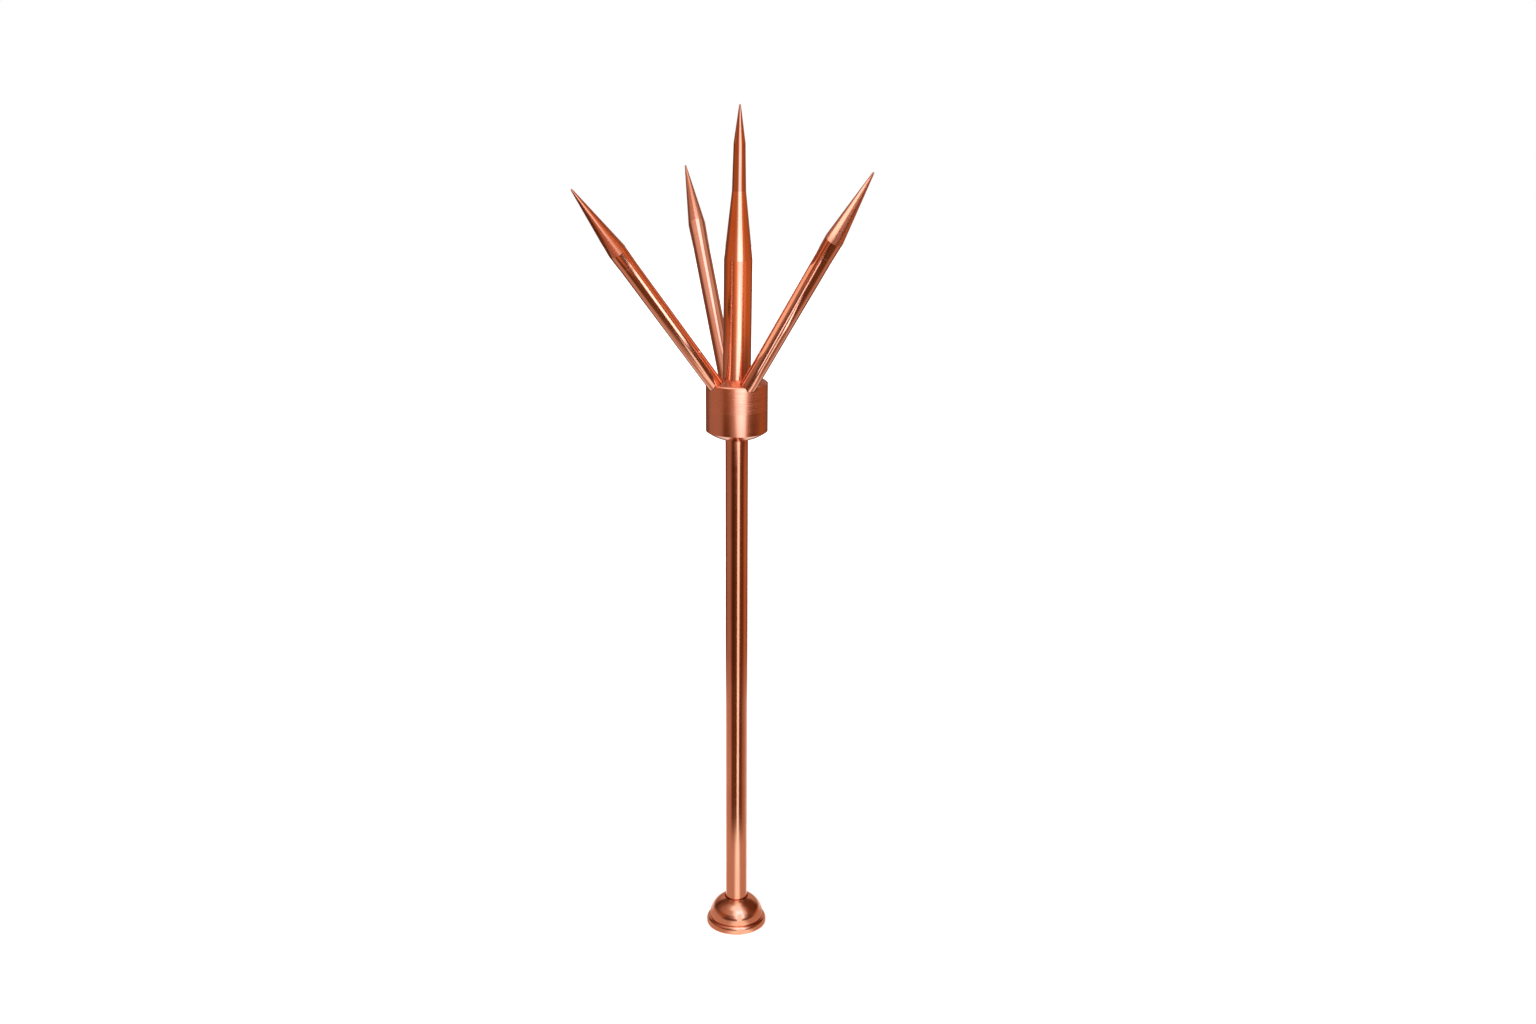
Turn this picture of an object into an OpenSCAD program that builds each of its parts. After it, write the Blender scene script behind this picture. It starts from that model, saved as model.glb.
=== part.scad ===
// Lightning arrester head on a rod: a turned bell foot, a plain round rod, a drum hub,
// one upright point on the hub and three points that lean outwards from its rim.
// Every piece is turned from copper bar and drawn up with threads, here plain spigots in bores.
// The origin is the centre of the foot's underside. +X is to the right of the front view,
// -Y faces the viewer, and azimuths are measured from +X towards +Y.

/* [Foot] */
// Diameter over the rim
foot_d = 69.8; // [67:0.2:76]
// Height of the dome's top lip above the underside
foot_h = 34; // [32:0.1:40]
// Height of the rim's upright wall
rim_wall_h = 4.2; // [3:0.1:5.4]
// Height at which the rim's rounded top ends in the groove
groove_z = 8.8; // [8.4:0.1:9.6]
// Depth of the groove under the dome's foot
groove_depth = 0.4; // [0.2:0.1:1]
// Height of the widest place of the dome
dome_z = 11; // [10.8:0.1:13]
// Diameter of the dome at its widest place
dome_d = 62.2; // [58:0.2:64]
// Diameter of the socket that takes the rod
socket_d = 26.6; // [26:0.1:28.6]
// Depth of the socket below the dome's lip
socket_depth = 6; // [4:0.5:8]
// Diameter of the tapped hole in the underside
fixing_d = 16; // [12:1:17]

/* [Rod] */
// Diameter of the rod
rod_d = 25; // [24:0.1:25.6]
// Length of the rod between its two shoulders
rod_l = 566.6; // [300:0.1:900]
// Edge break at the rod's shoulders
rod_edge = 0.6; // [0.3:0.1:1]
// Diameter of the thread at both ends
rod_thread_d = 20; // [18:1:20]
// Length of the thread at the foot
rod_thread_foot_l = 11; // [8:0.5:11.5]
// Length of the thread at the hub
rod_thread_hub_l = 20; // [14:0.5:24]

/* [Hub] */
// Diameter of the drum
hub_d = 68; // [66:0.2:74]
// Height of the drum's straight wall, with its top edge break
hub_wall_h = 54.4; // [52:0.1:57]
// Height of the rounded underside
hub_round_h = 9.3; // [7:0.1:10.5]
// Diameter of the flat land that the rod seats on
hub_land_d = 31; // [28:0.5:36]
// Height of the rounded top over the rim
hub_crown_h = 4.2; // [3:0.1:5]
// Edge break round the rim
hub_edge = 1.2; // [0.5:0.1:2]
// Diameter of the seat sunk into the top for the upright point
upright_seat_d = 31; // [30.8:0.1:32]
// Diameter of the thread of the upright point
upright_thread_d = 16; // [12:1:16]
// Length of the thread of the upright point
upright_thread_l = 22; // [16:0.5:24]

/* [Upright point] */
// Diameter of the thick shank
shank_d = 30.6; // [28:0.1:30.6]
// Length of the thick shank
shank_l = 128.7; // [90:0.1:180]
// Length of the long taper above the shank
taper_l = 72.5; // [50:0.5:100]
// Diameter of the neck at its lower end
neck_low_d = 15; // [13:0.1:18]
// Diameter of the neck at its upper end
neck_top_d = 12.6; // [10:0.1:13]
// Length of the neck
neck_l = 49.5; // [30:0.5:70]
// Length of the sharp end above the neck
sharp_l = 40; // [30:0.5:60]
// Radius of the blunted tip
sharp_tip_r = 0.9; // [0.8:0.1:2]
// Lean of the upright point to the right, which keeps its seat flat
upright_lean = 0.6; // [0:0.1:1]

/* [Leaning points] */
// Diameter of the shank where it enters the hub
lean_foot_d = 17.6; // [15:0.1:17.8]
// Diameter of the shank at the lower edge of the collar
lean_top_d = 18.4; // [15.5:0.1:18.6]
// Diameter at the joint line, the widest place
lean_joint_d = 19.4; // [19.3:0.1:21]
// Length of the tapered collar under the joint line
lean_collar_l = 20; // [12:0.5:30]
// Length from the circle of the leaning axes to the joint line
lean_shank_l = 212; // [150:1:260]
// Length of the sharp cone
lean_cone_l = 86; // [60:1:120]
// Radius of the blunted tip
lean_tip_r = 1; // [0.8:0.1:2]
// Height over the wall's lower edge of the circle that the leaning axes pass through
lean_circle_h = 52; // [51:0.1:53]
// Radius of that circle
lean_circle_r = 25.5; // [25.2:0.1:26.5]
// Azimuth at which the left point's axis passes through the circle
left_seat = 210; // [206:1:222]
// Azimuth that the left point leans towards
left_azimuth = 225.5; // [216:0.5:228]
// Lean of the left point from upright
left_lean = 41.3; // [36:0.1:44]
// Azimuth at which the back point's axis passes through the circle
back_seat = 115; // [108:1:118]
// Azimuth that the back point leans towards
back_azimuth = 104; // [101:0.5:115]
// Lean of the back point from upright
back_lean = 44; // [36:0.1:44]
// Azimuth at which the right point's axis passes through the circle
right_seat = 297; // [295:1:312]
// Azimuth that the right point leans towards
right_azimuth = 313.5; // [302:0.5:315]
// Lean of the right point from upright
right_lean = 36; // [36:0.1:44]
// Diameter of the drilled pocket that each leaning point sits in
pocket_d = 18.4; // [18.2:0.1:18.8]
// Depth of the pocket under the circle, along its own axis
pocket_depth = 6; // [5:0.1:7]
// Diameter of the thread under each leaning point
lean_thread_d = 10; // [8:1:10]
// Length of the thread under each leaning point
lean_thread_l = 9; // [7:0.5:9]

/* [Hidden] */
$fn = 96;
copper = [0.80, 0.45, 0.32];
// A male thread is drawn this much under its hole, on the radius
thread_gap = 0.05;
// A hole runs this much past the end of the thread in it
hole_spare = 1;
// Overrun of a cut past the face that it opens on
cut_over = 1;
// Radius of the rounded edge at the foot of the rim
rim_low_round = 0.8;
// Height of the groove's upright wall, and of the slopes below and over it
groove_wall_h = 0.6;
groove_slope_h = 0.2;
// Width and height of the broken edge inside the dome's lip
lip_break = 0.7;
// Where the rim's rounded top stops, as an angle of its elliptical arc
rim_top_angle = 70;
// Segments in each round stretch of the foot's outline
low_steps = 6;
rim_steps = 10;
dome_steps = 18;
// Length of the small step under the collar of a leaning point, and the collar's own widening
collar_step_l = 0.2;
collar_widening = 0.7;
// How far the cutter of a pocket or seat reaches past the hub
cutter_reach = 40;
// Depth of the upright point's seat where its edge meets the rounded top
seat_sink = 0.3;

foot_r = foot_d / 2;
dome_r = dome_d / 2;
lip_r = socket_d / 2 + lip_break;
socket_floor = foot_h - socket_depth;
rod_bore_depth = rod_thread_foot_l + hole_spare;

hub_bottom = socket_floor + rod_l;
hub_wall_bottom = hub_bottom + hub_round_h;
hub_rim_z = hub_wall_bottom + hub_wall_h;
hub_top = hub_rim_z + hub_crown_h - seat_sink;
hub_r = hub_d / 2;
lean_circle_z = hub_wall_bottom + lean_circle_h;

// Seat azimuth, lean azimuth and lean of each leaning point
left_place = [left_seat, left_azimuth, left_lean];
back_place = [back_seat, back_azimuth, back_lean];
right_place = [right_seat, right_azimuth, right_lean];

// Points of an elliptical arc, from one angle to the other
function arc(centre, rx, ry, from, to, steps) = [
    for (i = [0:steps])
        let (a = from + (to - from) * i / steps)
            [centre[0] + rx * cos(a), centre[1] + ry * sin(a)]
];

// Outline of the foot from the axis: upright rim, its rounded top, groove, dome and lip.
// The rounded top and the dome are parts of ellipses.
module foot_outline() {
    rim_top_w = foot_r - dome_r;
    rim_top_h = (groove_z - rim_wall_h) / sin(rim_top_angle);
    groove_r = dome_r - groove_depth;
    groove_top = groove_z + groove_slope_h + groove_wall_h;
    lip_angle = acos(lip_r / dome_r);
    dome_rise = (foot_h - dome_z) / sin(lip_angle);
    polygon(concat(
        [[0, 0]],
        arc([foot_r - rim_low_round, rim_low_round], rim_low_round, rim_low_round, -90, 0, low_steps),
        arc([dome_r, rim_wall_h], rim_top_w, rim_top_h, 0, rim_top_angle, rim_steps),
        [[groove_r, groove_z + groove_slope_h], [groove_r, groove_top], [dome_r, groove_top + groove_slope_h]],
        arc([0, dome_z], dome_r, dome_rise, 0, lip_angle, dome_steps),
        [[0, foot_h]]
    ));
}

module foot() {
    color(copper)
    difference() {
        rotate_extrude() foot_outline();
        translate([0, 0, socket_floor])
            cylinder(d = socket_d, h = socket_depth + cut_over);
        translate([0, 0, foot_h - lip_break])
            cylinder(r1 = socket_d / 2, r2 = lip_r + cut_over, h = lip_break + cut_over);
        translate([0, 0, socket_floor - rod_bore_depth])
            cylinder(d = rod_thread_d, h = rod_bore_depth + cut_over);
        translate([0, 0, -cut_over])
            cylinder(d = fixing_d, h = foot_h / 2 + cut_over);
    }
}

// Plain round bar with broken edges at the shoulders and a turned-down thread at each end
module rod() {
    thread_r = rod_thread_d / 2 - thread_gap;
    r = rod_d / 2;
    color(copper)
    translate([0, 0, socket_floor])
    rotate_extrude()
    polygon([
        [0, -rod_thread_foot_l],
        [thread_r, -rod_thread_foot_l],
        [thread_r, 0],
        [r - rod_edge, 0],
        [r, rod_edge],
        [r, rod_l - rod_edge],
        [r - rod_edge, rod_l],
        [thread_r, rod_l],
        [thread_r, rod_l + rod_thread_hub_l],
        [0, rod_l + rod_thread_hub_l]
    ]);
}

// Moves to the middle of the upright point's seat, with +Z along its axis
module on_upright_axis() {
    translate([0, 0, hub_top])
    rotate([0, upright_lean, 0])
    children();
}

// Moves to the point where a leaning axis passes through its circle, with +Z along the axis
module on_lean_axis(place) {
    seat = place[0];
    azimuth = place[1];
    lean = place[2];
    rotate([0, 0, seat])
    translate([lean_circle_r, 0, lean_circle_z])
    rotate([0, 0, azimuth - seat])
    rotate([0, lean, 0])
    children();
}

// Flat-floored pocket that breaks out through the rim, with the tapped hole below it
module lean_pocket(place) {
    on_lean_axis(place) {
        translate([0, 0, -pocket_depth])
            cylinder(d = pocket_d, h = pocket_depth + cutter_reach);
        translate([0, 0, -pocket_depth - lean_thread_l - hole_spare])
            cylinder(d = lean_thread_d, h = lean_thread_l + hole_spare + cut_over);
    }
}

// Shallow flat seat in the rounded top, with the tapped hole of the upright point below it
module upright_pocket() {
    on_upright_axis() {
        cylinder(d = upright_seat_d, h = cutter_reach);
        translate([0, 0, -upright_thread_l - hole_spare])
            cylinder(d = upright_thread_d, h = upright_thread_l + hole_spare + cut_over);
    }
}

// Distance from the plane of a sphere's wider circle to its centre, where a second circle of
// the sphere lies a given height away on the other side
function centre_from(wide_r, narrow_r, height) =
    (pow(wide_r, 2) - pow(narrow_r, 2) - pow(height, 2)) / (2 * height);

// Drum with a rounded top and a rounded underside, each part of a sphere
module hub_blank() {
    rim_r = hub_r - hub_edge;
    under_centre = centre_from(hub_r, hub_land_d / 2, hub_round_h);
    crown_centre = centre_from(rim_r, upright_seat_d / 2, hub_crown_h);
    intersection() {
        rotate_extrude()
        polygon([
            [0, hub_bottom],
            [hub_r, hub_bottom],
            [hub_r, hub_rim_z - hub_edge],
            [rim_r, hub_rim_z],
            [rim_r, hub_top + cutter_reach],
            [0, hub_top + cutter_reach]
        ]);
        translate([0, 0, hub_wall_bottom + under_centre])
            sphere(r = norm([hub_r, under_centre]));
        translate([0, 0, hub_rim_z - crown_centre])
            sphere(r = norm([rim_r, crown_centre]));
    }
}

// The drum with the rod's hole, the upright point's seat and three oblique pockets
module hub() {
    color(copper)
    difference() {
        hub_blank();
        translate([0, 0, hub_bottom - cut_over])
            cylinder(d = rod_thread_d, h = rod_thread_hub_l + hole_spare + cut_over);
        upright_pocket();
        lean_pocket(left_place);
        lean_pocket(back_place);
        lean_pocket(right_place);
    }
}

// One turned piece: thread, thick shank, long taper, slim neck and sharp end
module upright_point() {
    thread_r = upright_thread_d / 2 - thread_gap;
    taper_z = shank_l;
    neck_z = taper_z + taper_l;
    sharp_z = neck_z + neck_l;
    tip_z = sharp_z + sharp_l;
    color(copper)
    on_upright_axis()
    union() {
        rotate_extrude()
        polygon([
            [0, -upright_thread_l],
            [thread_r, -upright_thread_l],
            [thread_r, 0],
            [shank_d / 2, 0],
            [shank_d / 2, taper_z],
            [neck_low_d / 2, neck_z],
            [neck_top_d / 2, sharp_z],
            [sharp_tip_r, tip_z - sharp_tip_r],
            [0, tip_z - sharp_tip_r]
        ]);
        translate([0, 0, tip_z - sharp_tip_r])
            sphere(r = sharp_tip_r);
    }
}

// One turned piece: thread, slender tapered shank, collar, joint line and sharp cone
module lean_point(place) {
    thread_r = lean_thread_d / 2 - thread_gap;
    seat_z = -pocket_depth;
    collar_z = lean_shank_l - lean_collar_l;
    tip_z = lean_shank_l + lean_cone_l;
    collar_low_d = lean_joint_d - collar_widening;
    color(copper)
    on_lean_axis(place)
    union() {
        rotate_extrude()
        polygon([
            [0, seat_z - lean_thread_l],
            [thread_r, seat_z - lean_thread_l],
            [thread_r, seat_z],
            [lean_foot_d / 2, seat_z],
            [lean_top_d / 2, collar_z],
            [collar_low_d / 2, collar_z + collar_step_l],
            [lean_joint_d / 2, lean_shank_l],
            [lean_tip_r, tip_z - lean_tip_r],
            [0, tip_z - lean_tip_r]
        ]);
        translate([0, 0, tip_z - lean_tip_r])
            sphere(r = lean_tip_r);
    }
}

module left_point() {
    lean_point(left_place);
}

module back_point() {
    lean_point(back_place);
}

module right_point() {
    lean_point(right_place);
}

foot();
rod();
hub();
upright_point();
left_point();
back_point();
right_point();
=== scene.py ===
"""Lightning arrester on its rod, dressed as turned and polished copper.

Every measure is in metres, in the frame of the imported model: the origin is the centre of the
foot's underside, +Z is up the rod, +X is to the viewer's right and -Y faces the viewer.
"""

import bpy
import numpy as np
from mathutils import Matrix, Vector


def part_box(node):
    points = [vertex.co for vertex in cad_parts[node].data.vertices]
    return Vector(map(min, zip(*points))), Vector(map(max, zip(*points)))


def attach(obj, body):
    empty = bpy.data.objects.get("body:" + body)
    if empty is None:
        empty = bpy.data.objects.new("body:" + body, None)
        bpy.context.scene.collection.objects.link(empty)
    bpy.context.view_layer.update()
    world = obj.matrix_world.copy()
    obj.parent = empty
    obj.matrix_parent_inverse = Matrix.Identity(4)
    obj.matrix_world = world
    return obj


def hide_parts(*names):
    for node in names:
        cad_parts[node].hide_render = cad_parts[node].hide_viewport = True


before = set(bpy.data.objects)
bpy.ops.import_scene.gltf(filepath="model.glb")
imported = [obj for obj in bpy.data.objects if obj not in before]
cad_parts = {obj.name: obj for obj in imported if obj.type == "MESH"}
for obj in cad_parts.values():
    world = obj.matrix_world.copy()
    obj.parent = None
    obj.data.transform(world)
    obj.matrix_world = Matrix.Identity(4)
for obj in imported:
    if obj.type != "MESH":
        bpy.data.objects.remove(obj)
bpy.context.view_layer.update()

# Camera. It stands in front of the arrester and a little above the hub, and looks down far
# enough to see the hub's top face as a thin ellipse. It turns and rolls by about a degree.
camera_place = Vector((0.0, -1.8161, 1.0475))
camera_down = np.radians(16.48)
camera_right = np.radians(1.10)
camera_roll = np.radians(0.37)
picture_width = 1536
focal_pixels = 1700
sensor_width = 36.0

forward = Vector((
    np.sin(camera_right) * np.cos(camera_down),
    np.cos(camera_right) * np.cos(camera_down),
    -np.sin(camera_down),
))
level = forward.cross(Vector((0, 0, 1))).normalized()
upright = level.cross(forward)
camera_x = np.cos(camera_roll) * level + np.sin(camera_roll) * upright
camera_y = np.cos(camera_roll) * upright - np.sin(camera_roll) * level
camera_axes = Matrix((camera_x, camera_y, -forward)).transposed().to_4x4()

camera_data = bpy.data.cameras.new("camera")
camera_data.sensor_width = sensor_width
camera_data.lens = sensor_width * focal_pixels / picture_width
camera = bpy.data.objects.new("camera", camera_data)
camera.matrix_world = Matrix.Translation(camera_place) @ camera_axes
bpy.context.scene.collection.objects.link(camera)
bpy.context.scene.camera = camera
bpy.context.scene.view_settings.view_transform = "Standard"


# Floor and background. A pale floor runs out into a white background, both drawn white for the
# camera and for mirrored rays, while the floor still takes the arrester's soft shadow.
def wire(tree, start, start_name, end, end_name):
    """Joins one node's output to another node's input, both by name or number."""
    tree.links.new(start.outputs[start_name], end.inputs[end_name])


def fresh_nodes(owner):
    """Empties the node tree of a material or world and returns the tree."""
    owner.use_nodes = True
    owner.node_tree.nodes.clear()
    return owner.node_tree


def combined(tree, operation, first, first_name, second, second_name):
    """A Math node over one output of each of two nodes."""
    node = tree.nodes.new("ShaderNodeMath")
    node.operation = operation
    wire(tree, first, first_name, node, 0)
    wire(tree, second, second_name, node, 1)
    return node


def rescaled(tree, source, source_name, span, onto=(0.0, 1.0), smooth=False):
    """Brings the span (low, high) of a value onto another span, straight or by a smooth step."""
    node = tree.nodes.new("ShaderNodeMapRange")
    if smooth:
        node.interpolation_type = "SMOOTHSTEP"
    node.inputs["From Min"].default_value = span[0]
    node.inputs["From Max"].default_value = span[1]
    node.inputs["To Min"].default_value = onto[0]
    node.inputs["To Max"].default_value = onto[1]
    wire(tree, source, source_name, node, "Value")
    return node


def seen_directly(tree):
    """1 for rays that show the background: from the camera, mirrored or passed through glass."""
    path = tree.nodes.new("ShaderNodeLightPath")
    either = combined(tree, "MAXIMUM", path, "Is Camera Ray", path, "Is Glossy Ray")
    return combined(tree, "MAXIMUM", either, 0, path, "Is Transmission Ray")


white = (1, 1, 1, 1)
floor_half = 6.0
floor_tone = 0.80
lift_from, lift_to = 0.5, 1.6
lift_near, lift_far = 0.45, 1.0
room_light = 0.55

floor_corners = np.array([(-1, -1, 0), (1, -1, 0), (1, 1, 0), (-1, 1, 0)]) * floor_half
floor_mesh = bpy.data.meshes.new("floor")
floor_mesh.from_pydata(floor_corners.tolist(), [], [(0, 1, 2, 3)])
floor = bpy.data.objects.new("floor", floor_mesh)
bpy.context.scene.collection.objects.link(floor)

floor_material = bpy.data.materials.new("pale_floor")
tree = fresh_nodes(floor_material)
lit = tree.nodes.new("ShaderNodeBsdfDiffuse")
lit.inputs["Color"].default_value = (floor_tone, floor_tone, floor_tone, 1)
lift = tree.nodes.new("ShaderNodeEmission")
lift.inputs["Color"].default_value = white
spot = tree.nodes.new("ShaderNodeTexCoord")
distance = tree.nodes.new("ShaderNodeVectorMath")
distance.operation = "LENGTH"
wire(tree, spot, "Object", distance, 0)
lift_here = rescaled(tree, distance, "Value", (lift_from, lift_to), (lift_near, lift_far), smooth=True)
lift_level = combined(tree, "MULTIPLY", seen_directly(tree), 0, lift_here, "Result")
wire(tree, lift_level, 0, lift, "Strength")
both = tree.nodes.new("ShaderNodeAddShader")
wire(tree, lit, 0, both, 0)
wire(tree, lift, 0, both, 1)
surface = tree.nodes.new("ShaderNodeOutputMaterial")
wire(tree, both, 0, surface, "Surface")
floor_mesh.materials.append(floor_material)

room = bpy.data.worlds.new("white_room")
bpy.context.scene.world = room
tree = fresh_nodes(room)
background = tree.nodes.new("ShaderNodeBackground")
background.inputs["Color"].default_value = white
room_level = rescaled(tree, seen_directly(tree), 0, (0.0, 1.0), (room_light, 1.0))
wire(tree, room_level, "Result", background, "Strength")
world_out = tree.nodes.new("ShaderNodeOutputWorld")
wire(tree, background, 0, world_out, "Surface")


# Lamps. One large soft lamp high on the left and a weaker one on the right light the floor, so
# that the foot's shadow is faint. What the copper mirrors is the cloth and the cards below.
def soft_lamp(name, place, size, power):
    """A square lamp at a place, turned to face the foot and out of sight of mirrored rays."""
    data = bpy.data.lights.new(name, "AREA")
    data.size = size
    data.energy = power
    lamp = bpy.data.objects.new(name, data)
    turn = (-Vector(place)).to_track_quat("-Z", "Y").to_matrix().to_4x4()
    lamp.matrix_world = Matrix.Translation(place) @ turn
    lamp.visible_glossy = False
    bpy.context.scene.collection.objects.link(lamp)


soft_lamp("left_lamp", place=(-1.6, -1.4, 2.6), size=1.8, power=55)
soft_lamp("right_lamp", place=(1.7, -0.8, 2.4), size=1.6, power=30)


# Tent. A closed tent of coloured cloth stands round the arrester, mostly brown, with one tall
# pale strip in front and to the right. It shows only as what the polished copper mirrors.
def grid_faces(rows, columns, wrap_rows, wrap_columns):
    """Corner numbers of the quads of a grid of points, (i, j), (i, j+1), (i+1, j+1), (i+1, j),
    with the last row or column joined to the first where it wraps."""
    row, column = np.meshgrid(
        np.arange(rows if wrap_rows else rows - 1),
        np.arange(columns if wrap_columns else columns - 1),
        indexing="ij",
    )
    row_next = (row + 1) % rows
    column_next = (column + 1) % columns
    corners = (row * columns + column, row * columns + column_next,
               row_next * columns + column_next, row_next * columns + column)
    return np.stack(corners, axis=-1).reshape(-1, 4)


def mirrored_only(thing):
    """Hides a stage piece from all rays but the mirrored ones."""
    thing.visible_camera = False
    thing.visible_diffuse = False
    thing.visible_shadow = False
    thing.visible_transmission = False


cloth_columns = 144
cloth_turn = np.linspace(-np.pi, np.pi, cloth_columns + 1)


def round_cloth(name, across, up, way_out):
    """Cloth carried round the rod: its outline point (across, up) at turn a goes to
    (across sin a, -across cos a, up), with a = 0 in front. Its UV layer round_and_out holds the
    turn as a share of the circle, and the way out along the outline in metres."""
    points = np.stack(np.broadcast_arrays(
        across[:, None] * np.sin(cloth_turn),
        -across[:, None] * np.cos(cloth_turn),
        up[:, None],
    ), axis=-1).reshape(-1, 3)
    faces = grid_faces(len(across), cloth_columns + 1, False, False)
    mesh = bpy.data.meshes.new(name)
    mesh.from_pydata(points.tolist(), [], faces.tolist())
    uv = np.stack(np.broadcast_arrays(
        (cloth_turn / (2 * np.pi) + 0.5)[None, :],
        way_out[:, None],
    ), axis=-1).reshape(-1, 2)
    layer = mesh.uv_layers.new(name="round_and_out")
    layer.data.foreach_set("uv", uv[faces.ravel()].ravel())
    cloth = bpy.data.objects.new(name, mesh)
    bpy.context.scene.collection.objects.link(cloth)
    mirrored_only(cloth)
    return cloth


tent_radius = 0.75
tent_height = 1.35
tent_inner = 0.0352
tent_floor = 0.001
tent_rows = 16

out_and_in = np.linspace(0, 1, tent_rows)
tent_across = np.concatenate((
    tent_inner + (tent_radius - tent_inner) * out_and_in,
    np.full(tent_rows - 1, tent_radius),
    tent_radius * (1 - out_and_in[1:]),
))
tent_up = np.concatenate((
    np.full(tent_rows, tent_floor),
    tent_floor + (tent_height - tent_floor) * out_and_in[1:],
    np.full(tent_rows - 1, tent_height),
))
tent_way = np.concatenate(([0], np.cumsum(np.hypot(np.diff(tent_across), np.diff(tent_up)))))
tent = round_cloth("tent", tent_across, tent_up, tent_way)

# the cloth's colours, as the light that it gives off
bright_strip = (3.2, 3.0, 3.6)
strip = (2.5, 2.4, 2.9)
dim_strip = (1.8, 1.7, 1.9)
cream = (1.20, 1.15, 1.10)
milk = (0.95, 0.90, 0.90)
blush = (0.85, 0.60, 0.55)
sand = (0.62, 0.48, 0.42)
pale = (0.56, 0.35, 0.27)
rose = (0.40, 0.22, 0.17)
amber = (0.82, 0.32, 0.12)
sienna = (0.54, 0.17, 0.05)
orange = (0.46, 0.17, 0.07)
russet = (0.34, 0.12, 0.045)
umber = (0.20, 0.09, 0.06)
bark = (0.14, 0.050, 0.018)
soot = (0.08, 0.028, 0.009)

# each band of the tent: how far out along it the band starts and is full, and its colours by the
# angle round the tent, in degrees to the right of the front
tent_bands = [
    # the floor near the foot
    (0.0, 0.0, [
        (-180, milk), (-140, milk), (-110, pale), (-30, pale), (2, cream), (22, cream),
        (46, pale), (110, pale), (140, milk), (180, milk)]),
    # the floor further out, dark in front, mirrored by the leaning shanks
    (0.17, 0.26, [
        (-180, milk), (-140, milk), (-112, pale), (-70, pale), (-44, bark), (48, bark),
        (74, rose), (104, pale), (140, milk), (180, milk)]),
    # the low wall, mirrored by the rod
    (0.60, 0.82, [
        (-180, umber), (-128, umber), (-110, rose), (-74, rose), (-42, soot), (-28, soot),
        (-4, bark), (12, orange), (26, orange), (42, bark), (64, bark), (92, orange),
        (118, orange), (135, umber), (180, umber)]),
    # the wall mirrored by the hub's lower part
    (1.10, 1.13, [
        (-180, umber), (-132, umber), (-112, rose), (-60, rose), (-44, bark), (-32, bark),
        (-5, pale), (12, dim_strip), (22, dim_strip), (40, russet), (58, bark), (78, bark),
        (100, russet), (125, russet), (150, umber), (180, umber)]),
    # the wall mirrored by its upper part
    (1.16, 1.20, [
        (-180, umber), (-132, umber), (-112, rose), (-60, rose), (-40, russet), (-30, rose),
        (-14, pale), (8, bright_strip), (22, bright_strip), (42, rose), (58, umber),
        (85, umber), (110, russet), (150, umber), (180, umber)]),
    # the wall mirrored by the upright point's shank
    (1.24, 1.30, [
        (-180, umber), (-122, umber), (-100, russet), (-80, sienna), (-58, russet),
        (-38, russet), (-13, amber), (10, dim_strip), (28, dim_strip), (42, amber),
        (58, amber), (76, sienna), (114, sienna), (140, umber), (180, umber)]),
    # the wall mirrored by its taper and neck
    (1.44, 1.53, [
        (-180, rose), (-145, umber), (-112, umber), (-88, sienna), (-34, sienna), (-14, pale),
        (5, strip), (29, strip), (46, amber), (66, sienna), (92, sienna), (120, russet),
        (145, rose), (180, rose)]),
    # the high wall, mirrored by its sharp end
    (1.70, 1.80, [
        (-180, umber), (-140, umber), (-127, rose), (-110, sand), (-98, sand), (-78, umber),
        (-40, umber), (-12, pale), (6, dim_strip), (24, dim_strip), (46, rose), (70, bark),
        (92, bark), (110, russet), (150, umber), (180, umber)]),
    # the top of the tent
    (1.90, 2.15, [
        (-180, umber), (-150, rose), (-118, pale), (-98, blush), (-82, blush), (-50, sand),
        (0, umber), (60, umber), (90, sand), (120, sand), (180, umber)]),
]


def band_ramp(tree, colours, brightest):
    """Colour by the angle round the cloth, as shares of the brightest value."""
    ramp = tree.nodes.new("ShaderNodeValToRGB")
    ramp.color_ramp.interpolation = "EASE"
    stops = ramp.color_ramp.elements
    while len(stops) < len(colours):
        stops.new(0.5)
    for number, (degrees, colour) in enumerate(colours):
        stops[number].position = degrees / 360 + 0.5
        stops[number].color = (*(np.array(colour) / brightest), 1)
    return ramp


def blended(tree, share, share_name):
    """A colour Mix node whose share of its second colour is another node's output."""
    node = tree.nodes.new("ShaderNodeMix")
    node.data_type = "RGBA"
    wire(tree, share, share_name, node, "Factor")
    return node


def banded_glow(tree, bands):
    """Glow whose colour goes by the UV layer round_and_out: each band has its own ramp by the
    angle, and a smooth step along the way out joins it to the band before it."""
    uv = tree.nodes.new("ShaderNodeUVMap")
    uv.uv_map = "round_and_out"
    split = tree.nodes.new("ShaderNodeSeparateXYZ")
    wire(tree, uv, 0, split, 0)
    brightest = max(bright_strip)
    so_far, so_far_name = None, None
    for starts, full, colours in bands:
        ramp = band_ramp(tree, colours, brightest)
        wire(tree, split, "X", ramp, 0)
        if so_far is None:
            so_far, so_far_name = ramp, "Color"
            continue
        rise = rescaled(tree, split, "Y", (starts, full), smooth=True)
        joined = blended(tree, rise, "Result")
        wire(tree, so_far, so_far_name, joined, "A")
        wire(tree, ramp, "Color", joined, "B")
        so_far, so_far_name = joined, "Result"
    glow = tree.nodes.new("ShaderNodeEmission")
    glow.inputs["Strength"].default_value = brightest
    wire(tree, so_far, so_far_name, glow, "Color")
    return glow


tent_cloth = bpy.data.materials.new("tent_cloth")
tree = fresh_nodes(tent_cloth)
surface = tree.nodes.new("ShaderNodeOutputMaterial")
wire(tree, banded_glow(tree, tent_bands), 0, surface, "Surface")
tent.data.materials.append(tent_cloth)


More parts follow.
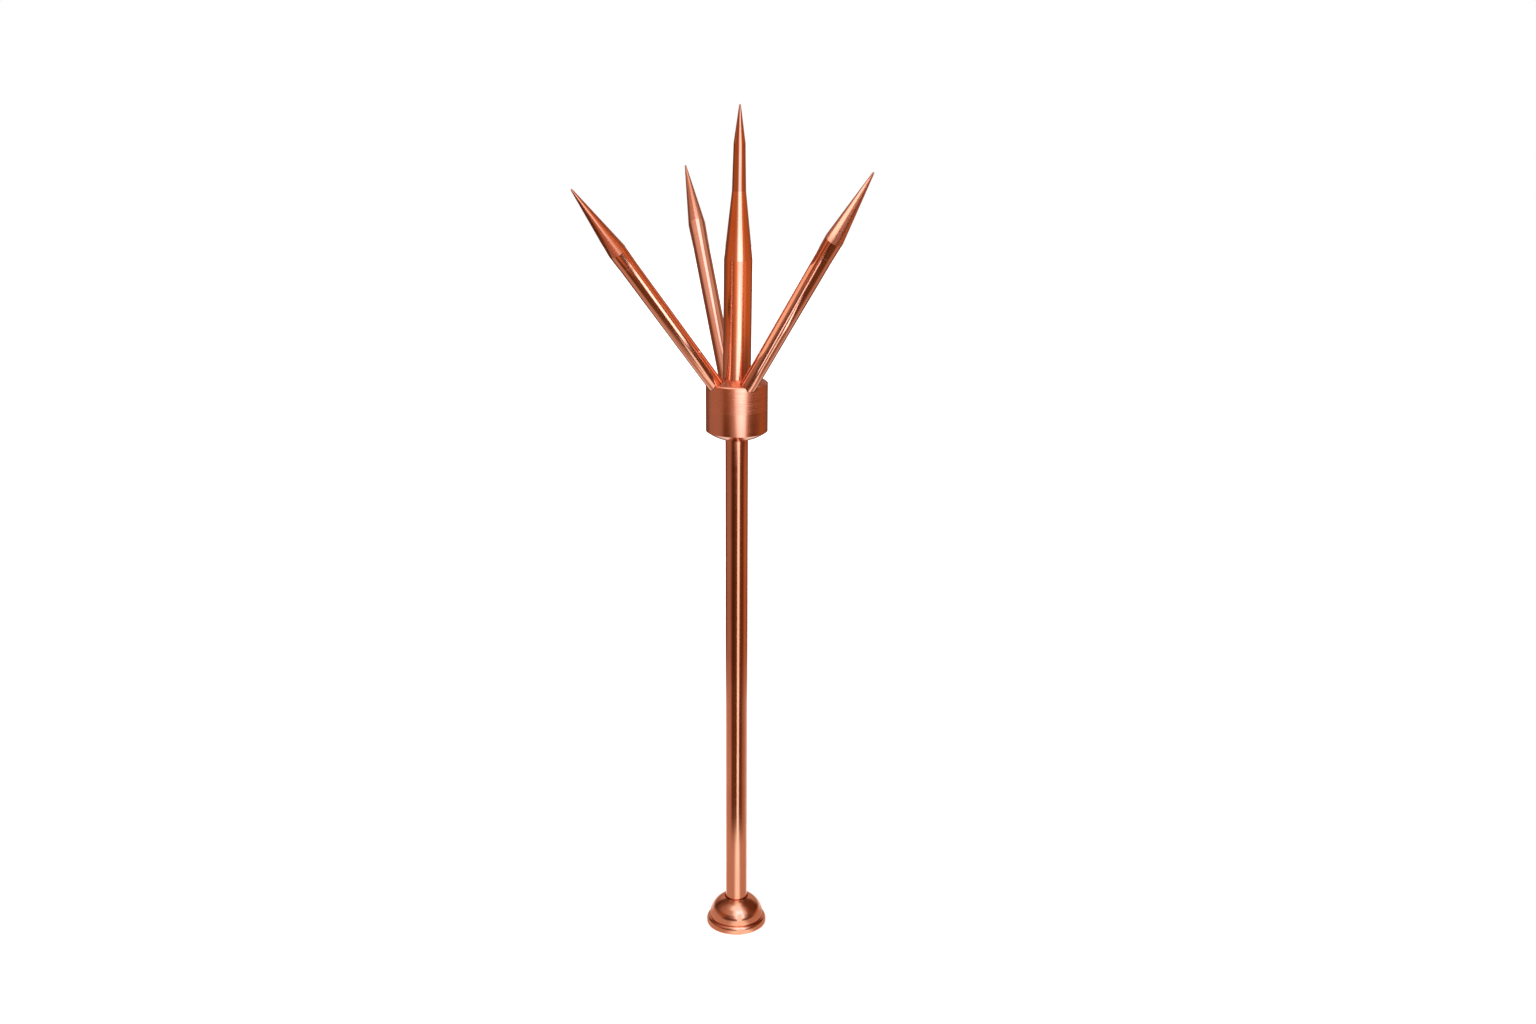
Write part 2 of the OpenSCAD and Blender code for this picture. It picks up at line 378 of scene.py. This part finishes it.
# Hood. A level disc of cloth round the rod, a hand's width above the foot. Only its underside
# glows, so the foot's dome and rim mirror it, and nothing above it does.
def glow_in_front(tree, glow):
    """Shows a glow on the front of a surface and leaves its back clear."""
    clear = tree.nodes.new("ShaderNodeBsdfTransparent")
    side = tree.nodes.new("ShaderNodeNewGeometry")
    front_only = tree.nodes.new("ShaderNodeMixShader")
    wire(tree, side, "Backfacing", front_only, 0)
    wire(tree, glow, 0, front_only, 1)
    wire(tree, clear, 0, front_only, 2)
    surface = tree.nodes.new("ShaderNodeOutputMaterial")
    wire(tree, front_only, 0, surface, "Surface")


hood_height = 0.11
hood_inner = 0.0135
hood_radius = 0.60
hood_rows = 24
glare = (1.9, 2.1, 2.9)
bright_cream = (1.30, 1.50, 1.75)

# each band of the hood, as for the tent
hood_bands = [
    # close to the rod, mirrored by the dome's shoulder
    (0.0, 0.0, [
        (-180, cream), (-112, rose), (-75, russet), (-35, pale), (0, cream), (38, cream),
        (62, sand), (80, umber), (115, rose), (180, cream)]),
    # mirrored by the upper part of the dome
    (0.030, 0.048, [
        (-180, pale), (-150, bark), (-120, bark), (-92, umber), (-72, rose), (-46, sand),
        (-26, cream), (-8, bright_cream), (28, bright_cream), (46, sand), (66, umber),
        (85, bark), (125, bark), (180, pale)]),
    # mirrored by the middle of the dome
    (0.075, 0.100, [
        (-180, pale), (-140, pale), (-121, soot), (-97, umber), (-76, rose), (-40, pale),
        (-22, sand), (-10, cream), (3, glare), (26, glare), (40, milk), (58, russet),
        (76, bark), (122, bark), (142, pale), (180, pale)]),
    # mirrored by the lower part of the dome
    (0.17, 0.24, [
        (-180, pale), (-142, rose), (-119, soot), (-94, umber), (-70, russet), (-56, russet),
        (-37, umber), (-16, rose), (-5, milk), (3, glare), (28, glare), (40, sand),
        (55, umber), (72, umber), (91, bark), (117, soot), (140, pale), (180, pale)]),
]

hood_across = hood_inner + (hood_radius - hood_inner) * np.linspace(0, 1, hood_rows) ** 2
hood = round_cloth("hood", hood_across, np.full(hood_rows, hood_height), hood_across)
hood_cloth = bpy.data.materials.new("hood_cloth")
tree = fresh_nodes(hood_cloth)
glow_in_front(tree, banded_glow(tree, hood_bands))
hood.data.materials.append(hood_cloth)


# Cards. Small cards stand close to the copper, out of the camera's sight. Each one draws a pale
# or dark line in one piece only, and is clear from behind, so the other pieces don't mirror it.
def glowing_card(name, start, end, half_width, colour):
    """A flat card that runs from start to end and reaches half_width to both sides of that line.
    It glows on the side that (end - start) x half_width points to, and is clear from the other."""
    start, end, half_width = np.array(start), np.array(end), np.array(half_width)
    corners = np.stack((start - half_width, end - half_width, end + half_width, start + half_width))
    mesh = bpy.data.meshes.new(name)
    mesh.from_pydata(corners.tolist(), [], [(0, 1, 2, 3)])
    card = bpy.data.objects.new(name, mesh)
    bpy.context.scene.collection.objects.link(card)
    mirrored_only(card)
    card_cloth = bpy.data.materials.new(name + "_cloth")
    tree = fresh_nodes(card_cloth)
    glow = tree.nodes.new("ShaderNodeEmission")
    glow.inputs["Color"].default_value = (*(np.array(colour) / max(colour)), 1)
    glow.inputs["Strength"].default_value = max(colour)
    glow_in_front(tree, glow)
    mesh.materials.append(card_cloth)


# the rod's long highlight, from the foot up to the hub
glowing_card(
    "rod_card", start=(0.032, -0.146, 0.004), end=(0.050, -0.142, 0.555),
    half_width=(0.025, 0.008, 0.0), colour=(1.35, 1.35, 1.35),
)
# the pale underside of the hub
glowing_card(
    "hub_under_card", start=(-0.052, -0.062, 0.563), end=(0.052, -0.062, 0.563),
    half_width=(0.0, 0.017, 0.012), colour=(1.15, 1.05, 1.05),
)
# the bright line along the hub's upper edge
glowing_card(
    "hub_edge_card", start=(-0.036, -0.046, 0.700), end=(0.018, -0.046, 0.700),
    half_width=(0.0, -0.017, 0.0), colour=(1.3, 1.2, 1.2),
)
# the highlight of the left shank
glowing_card(
    "left_shank_card", start=(0.056, -0.109, 0.632), end=(0.022, -0.160, 0.730),
    half_width=(0.011, 0.016, 0.029), colour=(2.5, 2.4, 2.7),
)
# the highlight of the right shank
glowing_card(
    "right_shank_card", start=(0.005, -0.0724, 0.6281), end=(0.048, -0.142, 0.769),
    half_width=(0.003, -0.0018, -0.0064), colour=(1.9, 1.8, 2.0),
)
# the warm side of the right shank
glowing_card(
    "right_side_card", start=(-0.005, -0.047, 0.690), end=(0.052, -0.094, 0.802),
    half_width=(0.0, -0.014, 0.0), colour=(1.1, 0.8, 0.65),
)
# the highlight of the right cone
glowing_card(
    "right_cone_card", start=(0.048, -0.139, 0.819), end=(0.083, -0.167, 0.884),
    half_width=(0.013, -0.025, -0.018), colour=(1.9, 1.9, 2.0),
)
# the dark underside of the left cone, and the warm stripe over it
glowing_card(
    "left_cone_card", start=(-0.262, -0.230, 0.700), end=(-0.262, -0.020, 0.700),
    half_width=(-0.067, 0.0, 0.0), colour=soot,
)
glowing_card(
    "left_stripe_card", start=(-0.115, -0.250, 0.700), end=(-0.115, -0.160, 0.700),
    half_width=(-0.055, 0.0, 0.0), colour=(0.55, 0.20, 0.10),
)
# the pale light on the back point's shank, and the weaker light on its cone
glowing_card(
    "back_point_card", start=(-0.035, -0.060, 1.050), end=(-0.035, 0.155, 1.050),
    half_width=(0.075, 0.0, 0.0), colour=(1.9, 1.9, 2.4),
)
glowing_card(
    "back_cone_card", start=(-0.035, 0.155, 1.050), end=(-0.035, 0.300, 1.050),
    half_width=(0.075, 0.0, 0.0), colour=(1.15, 0.95, 0.9),
)


# Foot. One turned bell of solid copper: a rim with a rounded top, a groove and a dome with a
# socket for the rod. A tapped hole in its underside takes the fixing stud.
foot_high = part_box("foot")[1]
foot_radius = foot_high.x
foot_height = foot_high.z
rim_low_round = 0.0008
rim_wall_height = 0.0042
rim_top_angle = 70
groove_height = 0.0088
groove_depth = 0.0004
groove_wall_height = 0.0006
groove_slope = 0.0002
dome_radius = 0.0311
dome_height = 0.011
socket_radius = 0.0133
socket_depth = 0.006
lip_break = 0.0007
bore_radius = 0.010
fixing_radius = 0.008
fixing_depth = 0.016
rim_low_steps = 8
rim_top_steps = 16
dome_steps = 48
longest_foot_run = 0.002
edge_guard = 0.00003


def cut_runs(outline, closed, longest):
    """Adds points along an outline: straight runs are cut every `longest`, and a run gets one
    more point edge_guard away from each of its ends, which keeps the shading of its edges tight."""
    ends = np.roll(outline, -1, axis=0) if closed else outline[1:]
    starts = outline if closed else outline[:-1]
    pieces = []
    for start, end in zip(starts, ends):
        run = np.linalg.norm(end - start)
        if run > 4 * edge_guard:
            shares = np.linspace(0, 1, int(np.ceil(run / longest)) + 1)[:-1]
            shares = np.unique(np.concatenate((shares, [edge_guard / run, 1 - edge_guard / run])))
        else:
            shares = np.zeros(1)
        pieces.append(start + shares[:, None] * (end - start))
    if not closed:
        pieces.append(outline[-1:])
    return np.concatenate(pieces)


def arc(centre, across, up, start, end, steps):
    """Points of an ellipse's arc: centre + (across cos a, up sin a), a from start to end degrees."""
    angle = np.radians(np.linspace(start, end, steps + 1))
    return np.stack((centre[0] + across * np.cos(angle), centre[1] + up * np.sin(angle)), axis=-1)


def turned_piece(name, outline, finishes, closed=False, around=160, place=None, finish_of=None):
    """A lathe's surface: outline point (r, z) at turn a goes to (r cos a, r sin a, z), and
    `place` then moves the whole piece. An open outline starts and ends on the axis. The point
    attribute own_place keeps where each point is along and round the piece's own axis, and
    finish_of(z) says which finish a face takes."""
    radius, height = outline[:, :1], outline[:, 1:]
    turn = np.arange(around) * 2 * np.pi / around
    points = np.stack(np.broadcast_arrays(radius * np.cos(turn), radius * np.sin(turn), height), axis=-1)
    points = points.reshape(-1, 3)
    rows = len(outline)
    quads = grid_faces(rows, around, closed, True)
    row_of_face = np.repeat(np.arange(rows if closed else rows - 1), around)
    if closed:
        corners = quads.ravel()
        sizes = np.full(len(quads), 4)
    else:
        # the first and last rows close into one point each, so their quads become triangles
        points = np.concatenate((points[:1], points[around:-around], points[-1:]))
        quads = np.clip(quads - around + 1, 0, len(points) - 1)
        first = quads[:around][:, [0, 2, 3]]
        last = quads[-around:][:, [0, 1, 3]]
        middle = quads[around:-around]
        corners = np.concatenate((first.ravel(), middle.ravel(), last.ravel()))
        sizes = np.concatenate((np.full(around, 3), np.full(len(middle), 4), np.full(around, 3)))
    placed = points if place is None else points @ np.array(place.to_3x3()).T + np.array(place.translation)
    mesh = bpy.data.meshes.new(name)
    mesh.vertices.add(len(points))
    mesh.vertices.foreach_set("co", placed.ravel())
    mesh.loops.add(len(corners))
    mesh.loops.foreach_set("vertex_index", corners.astype(np.int32))
    mesh.polygons.add(len(sizes))
    mesh.polygons.foreach_set("loop_start", (np.cumsum(sizes) - sizes).astype(np.int32))
    mesh.polygons.foreach_set("loop_total", sizes.astype(np.int32))
    mesh.update()
    mesh.validate()
    mesh.shade_smooth()
    own = mesh.attributes.new("own_place", "FLOAT_VECTOR", "POINT")
    own.data.foreach_set("vector", points.astype(np.float32).ravel())
    for finish in finishes:
        mesh.materials.append(finish)
    if finish_of is not None:
        mesh.polygons.foreach_set("material_index", finish_of(height[row_of_face, 0]).astype(np.int32))
    piece = bpy.data.objects.new(name, mesh)
    bpy.context.scene.collection.objects.link(piece)
    return piece


copper_colour = (0.90, 0.45, 0.30)
stain_colour = (0.80, 0.36, 0.22)
# noise values between which the stains come in, and between which both marks together lie
stain_reach = (0.42, 0.72)
marks_reach = (0.7, 1.3)
# how soft the finer finish's edge is, and the share of the roughness and tone that it keeps
finer_edge = 0.0004
finer_share = 0.75


def copper(name, roughness, spread, rings, streaks, depth,
           colour=copper_colour, stain=stain_colour, packed_node=False, finer_below=None):
    """Copper with its tool and polish marks. Rings are marks round the axis, fine along it;
    streaks are marks along it, fine round it. Both move the roughness by `spread` and the bump,
    and a soft cloud of handling stains moves the colour. Marks follow the piece's own_place, and
    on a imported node, which has none, Object coordinates. Under the height `finer_below` the
    finish is smoother and a little darker."""
    material = bpy.data.materials.new(name)
    tree = fresh_nodes(material)
    if packed_node:
        place = tree.nodes.new("ShaderNodeTexCoord")
        place_name = "Object"
    else:
        place = tree.nodes.new("ShaderNodeAttribute")
        place.attribute_name = "own_place"
        place_name = "Vector"

    def marks(stretch, scale, detail):
        """Noise over the piece's own coordinates, stretched by three factors."""
        mapping = tree.nodes.new("ShaderNodeMapping")
        mapping.inputs["Scale"].default_value = stretch
        wire(tree, place, place_name, mapping, "Vector")
        noise = tree.nodes.new("ShaderNodeTexNoise")
        noise.inputs["Scale"].default_value = scale
        noise.inputs["Detail"].default_value = detail
        wire(tree, mapping, 0, noise, "Vector")
        return noise

    ring_marks = marks(stretch=(0.02, 0.02, 1.0), scale=rings, detail=2.0)
    streak_marks = marks(stretch=(1.0, 1.0, 0.01), scale=streaks, detail=2.0)
    cloud = marks(stretch=(1.0, 1.0, 0.5), scale=28.0, detail=4.0)

    stain_share = rescaled(tree, cloud, "Fac", stain_reach)
    tone = blended(tree, stain_share, "Result")
    tone.inputs["A"].default_value = (*colour, 1)
    tone.inputs["B"].default_value = (*stain, 1)

    both_marks = combined(tree, "ADD", ring_marks, "Fac", streak_marks, "Fac")
    rough = rescaled(tree, both_marks, 0, marks_reach, (roughness - spread, roughness + spread))
    if finer_below is not None:
        spot = tree.nodes.new("ShaderNodeSeparateXYZ")
        wire(tree, place, place_name, spot, 0)
        finer_reach = (finer_below - finer_edge, finer_below + finer_edge)
        finer = rescaled(tree, spot, "Z", finer_reach, (finer_share, 1.0))
        rough = combined(tree, "MULTIPLY", rough, "Result", finer, "Result")
        darker = blended(tree, finer, "Result")
        darker.inputs["A"].default_value = (*stain, 1)
        wire(tree, tone, "Result", darker, "B")
        tone = darker

    bump = tree.nodes.new("ShaderNodeBump")
    bump.inputs["Strength"].default_value = 1.0
    bump.inputs["Distance"].default_value = depth
    wire(tree, both_marks, 0, bump, "Height")

    shader = tree.nodes.new("ShaderNodeBsdfPrincipled")
    shader.inputs["Metallic"].default_value = 1.0
    wire(tree, tone, "Result", shader, "Base Color")
    wire(tree, rough, 0, shader, "Roughness")
    wire(tree, bump, 0, shader, "Normal")
    out = tree.nodes.new("ShaderNodeOutputMaterial")
    wire(tree, shader, 0, out, "Surface")
    return material


polished_copper = copper(
    "polished_copper", roughness=0.16, spread=0.04, rings=700.0, streaks=120.0, depth=0.000001,
)

rim_low_centre = foot_radius - rim_low_round
rim_top_width = foot_radius - dome_radius
rim_top_height = (groove_height - rim_wall_height) / np.sin(np.radians(rim_top_angle))
groove_radius = dome_radius - groove_depth
groove_top = groove_height + groove_slope + groove_wall_height
lip_angle = np.degrees(np.arccos((socket_radius + lip_break) / dome_radius))
dome_rise = (foot_height - dome_height) / np.sin(np.radians(lip_angle))
socket_floor = foot_height - socket_depth
foot_outline = np.concatenate((
    [(fixing_radius, 0.0)],
    arc((rim_low_centre, rim_low_round), rim_low_round, rim_low_round, -90, 0, rim_low_steps),
    arc((dome_radius, rim_wall_height), rim_top_width, rim_top_height, 0, rim_top_angle, rim_top_steps),
    [(groove_radius, groove_height + groove_slope), (groove_radius, groove_top)],
    [(dome_radius, groove_top + groove_slope)],
    arc((0, dome_height), dome_radius, dome_rise, 0, lip_angle, dome_steps),
    [(socket_radius, foot_height - lip_break), (socket_radius, socket_floor)],
    [(bore_radius, socket_floor), (bore_radius, fixing_depth), (fixing_radius, fixing_depth)],
))
foot_outline = cut_runs(foot_outline, True, longest_foot_run)
foot = turned_piece("turned_foot", foot_outline, [polished_copper], closed=True)
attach(foot, "root")
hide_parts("foot")


# Rod. Plain drawn copper bar, polished along its length, with its ends turned down and threaded.
# It screws into the foot's socket below and into the hub above.
round_steps = 6
longest_bar_run = 0.008


def rounded(corners, rounds):
    """Open outline through (radius, height) corners, each with an arc of its own radius that
    touches both its sides: the arc starts radius * tan(turn / 2) before the corner."""
    corners = np.asarray(corners, float)
    outline = [corners[:1]]
    for number in range(1, len(corners) - 1):
        before, corner, after = corners[number - 1:number + 2]
        radius = rounds[number]
        if radius == 0:
            outline.append(corner[None])
            continue
        way_in = (corner - before) / np.linalg.norm(corner - before)
        way_out = (after - corner) / np.linalg.norm(after - corner)
        turn = np.arctan2(way_in[0] * way_out[1] - way_in[1] * way_out[0], way_in @ way_out)
        side = np.sign(turn) * np.array([-way_in[1], way_in[0]])
        arc_start = corner - way_in * radius * abs(np.tan(turn / 2))
        angles = np.linspace(0, abs(turn), round_steps + 1)[:, None]
        outline.append(arc_start + radius * (side * (1 - np.cos(angles)) + way_in * np.sin(angles)))
    outline.append(corners[-1:])
    return cut_runs(np.concatenate(outline), False, longest_bar_run)


rod_low, rod_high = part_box("rod")
rod_radius = rod_high.x
hub_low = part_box("hub")[0]
rod_edge = 0.0006
rod_thread = 0.00995
thread_edge = 0.0004
drawn_copper = copper(
    "drawn_copper", roughness=0.14, spread=0.04, rings=120.0, streaks=500.0, depth=0.0000006,
)
rod_outline = rounded(
    [(0, rod_low.z), (rod_thread, rod_low.z), (rod_thread, socket_floor), (rod_radius, socket_floor),
     (rod_radius, hub_low.z), (rod_thread, hub_low.z), (rod_thread, rod_high.z), (0, rod_high.z)],
    [0, thread_edge, 0, rod_edge, rod_edge, 0, thread_edge, 0],
)
rod = turned_piece("drawn_rod", rod_outline, [drawn_copper])
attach(rod, "root")
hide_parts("rod")


# Hub. A turned copper drum with a rounded top and underside and a broken edge. Three oblique
# pockets are bored into its rim for the leaning points, and a flat seat for the upright one.
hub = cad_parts["hub"]
finer_band_top = 0.628
turned_copper = copper(
    "turned_copper", roughness=0.27, spread=0.07, rings=900.0, streaks=60.0, depth=0.000003,
    packed_node=True, finer_below=finer_band_top,
)
hub.material_slots[0].material = turned_copper


# Upright point. One piece turned from thick bar: a shank, a long taper, a slim neck and a sharp
# end. It screws into the seat in the middle of the hub's top, and leans by under a degree.
finish_edge = 0.0001
tip_steps = 6


def rounded_tip(outline, tip, radius):
    """Carries an outline round a ball of the given radius, to the axis at the height `tip`."""
    ball = arc((0, tip - radius), radius, radius, 0, 90, tip_steps)
    return np.concatenate((outline, ball[1:]))


upright_seat = 0.6622
upright_lean = 0.6
upright_radius = 0.0153
taper_start = 0.1287
neck_start = taper_start + 0.0725
sharp_start = neck_start + 0.0495
upright_tip = sharp_start + 0.040
neck_low_radius = 0.0075
neck_top_radius = 0.0063
sharp_tip_radius = 0.0009
upright_thread = 0.00795
upright_thread_length = 0.022
shank_edge = 0.0003
taper_edge = 0.0006
upright_outline = rounded(
    [(0, -upright_thread_length), (upright_thread, -upright_thread_length), (upright_thread, 0),
     (upright_radius, 0), (upright_radius, taper_start), (neck_low_radius, neck_start),
     (neck_top_radius, sharp_start), (sharp_tip_radius, upright_tip - sharp_tip_radius)],
    [0, thread_edge, 0, shank_edge, taper_edge, taper_edge, taper_edge, 0],
)
upright_outline = rounded_tip(upright_outline, upright_tip, sharp_tip_radius)

point_copper = copper(
    "point_copper", roughness=0.15, spread=0.04, rings=700.0, streaks=80.0, depth=0.0000015,
)
# the neck's copper: finer rings and lower roughness, and a colour and stain darker than the plain copper
# as painted shade, which dims all that the neck mirrors
neck_copper_with_painted_shade = copper(
    "neck_copper_with_painted_shade", roughness=0.12, spread=0.03, rings=900.0, streaks=80.0, depth=0.000002,
    colour=(0.68, 0.35, 0.24), stain=(0.56, 0.26, 0.17),
)


def neck_finish_and_shade(height):
    """Second material on the neck: a finer turned finish whose colour is darkened as painted shade. The
    first one is below it and on the sharp end.
    """
    return ((height > neck_start - finish_edge) & (height < sharp_start)).astype(int)


upright_place = (
    Matrix.Translation((0, 0, upright_seat))
    @ Matrix.Rotation(np.radians(upright_lean), 4, "Y")
)
upright_point = turned_piece(
    "turned_upright_point", upright_outline, [point_copper, neck_copper_with_painted_shade],
    place=upright_place, finish_of=neck_finish_and_shade,
)
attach(upright_point, "root")
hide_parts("upright_point")


# Leaning points. Three like pieces turned from thinner bar: a shank, a tapered collar, a joint
# line and a sharp cone. Each is screwed down in its own pocket in the hub's rim.
lean_circle = 0.0255
lean_circle_height = 0.6559
lean_foot_radius = 0.0088
lean_top_radius = 0.0092
shank_length = 0.212
collar_length = 0.020
collar_low_radius = 0.00935
collar_slope = 0.0002
joint_radius = 0.0097
cone_length = 0.086
lean_tip_radius = 0.001
pocket_depth = 0.006
lean_thread = 0.00495
lean_thread_length = 0.009
lean_thread_edge = 0.0003
joint_edge = 0.0002
lean_columns = 128
# where each axis passes through the circle, which way it leans, and how far, in degrees
leaning_places = {
    "left_point": (210, 225.5, 41.3),
    "back_point": (115, 104, 44),
    "right_point": (297, 313.5, 36),
}

thread_end = -pocket_depth - lean_thread_length
collar_start = shank_length - collar_length
lean_tip = shank_length + cone_length
lean_outline = rounded(
    [(0, thread_end), (lean_thread, thread_end), (lean_thread, -pocket_depth),
     (lean_foot_radius, -pocket_depth), (lean_top_radius, collar_start),
     (collar_low_radius, collar_start + collar_slope), (joint_radius, shank_length),
     (lean_tip_radius, lean_tip - lean_tip_radius)],
    [0, lean_thread_edge, 0, shank_edge, 0, 0, joint_edge, 0],
)
lean_outline = rounded_tip(lean_outline, lean_tip, lean_tip_radius)
cone_copper = copper(
    "cone_copper", roughness=0.27, spread=0.06, rings=1100.0, streaks=60.0, depth=0.000003,
)


def cone_finish(height):
    """Second finish from the joint line up."""
    return (height > shank_length - finish_edge).astype(int)


for node_name, (seat, azimuth, lean) in leaning_places.items():
    place = (
        Matrix.Rotation(np.radians(seat), 4, "Z")
        @ Matrix.Translation((lean_circle, 0, lean_circle_height))
        @ Matrix.Rotation(np.radians(azimuth - seat), 4, "Z")
        @ Matrix.Rotation(np.radians(lean), 4, "Y")
    )
    leaning = turned_piece(
        "turned_" + node_name, lean_outline, [point_copper, cone_copper],
        around=lean_columns, place=place, finish_of=cone_finish,
    )
    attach(leaning, "root")
    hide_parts(node_name)
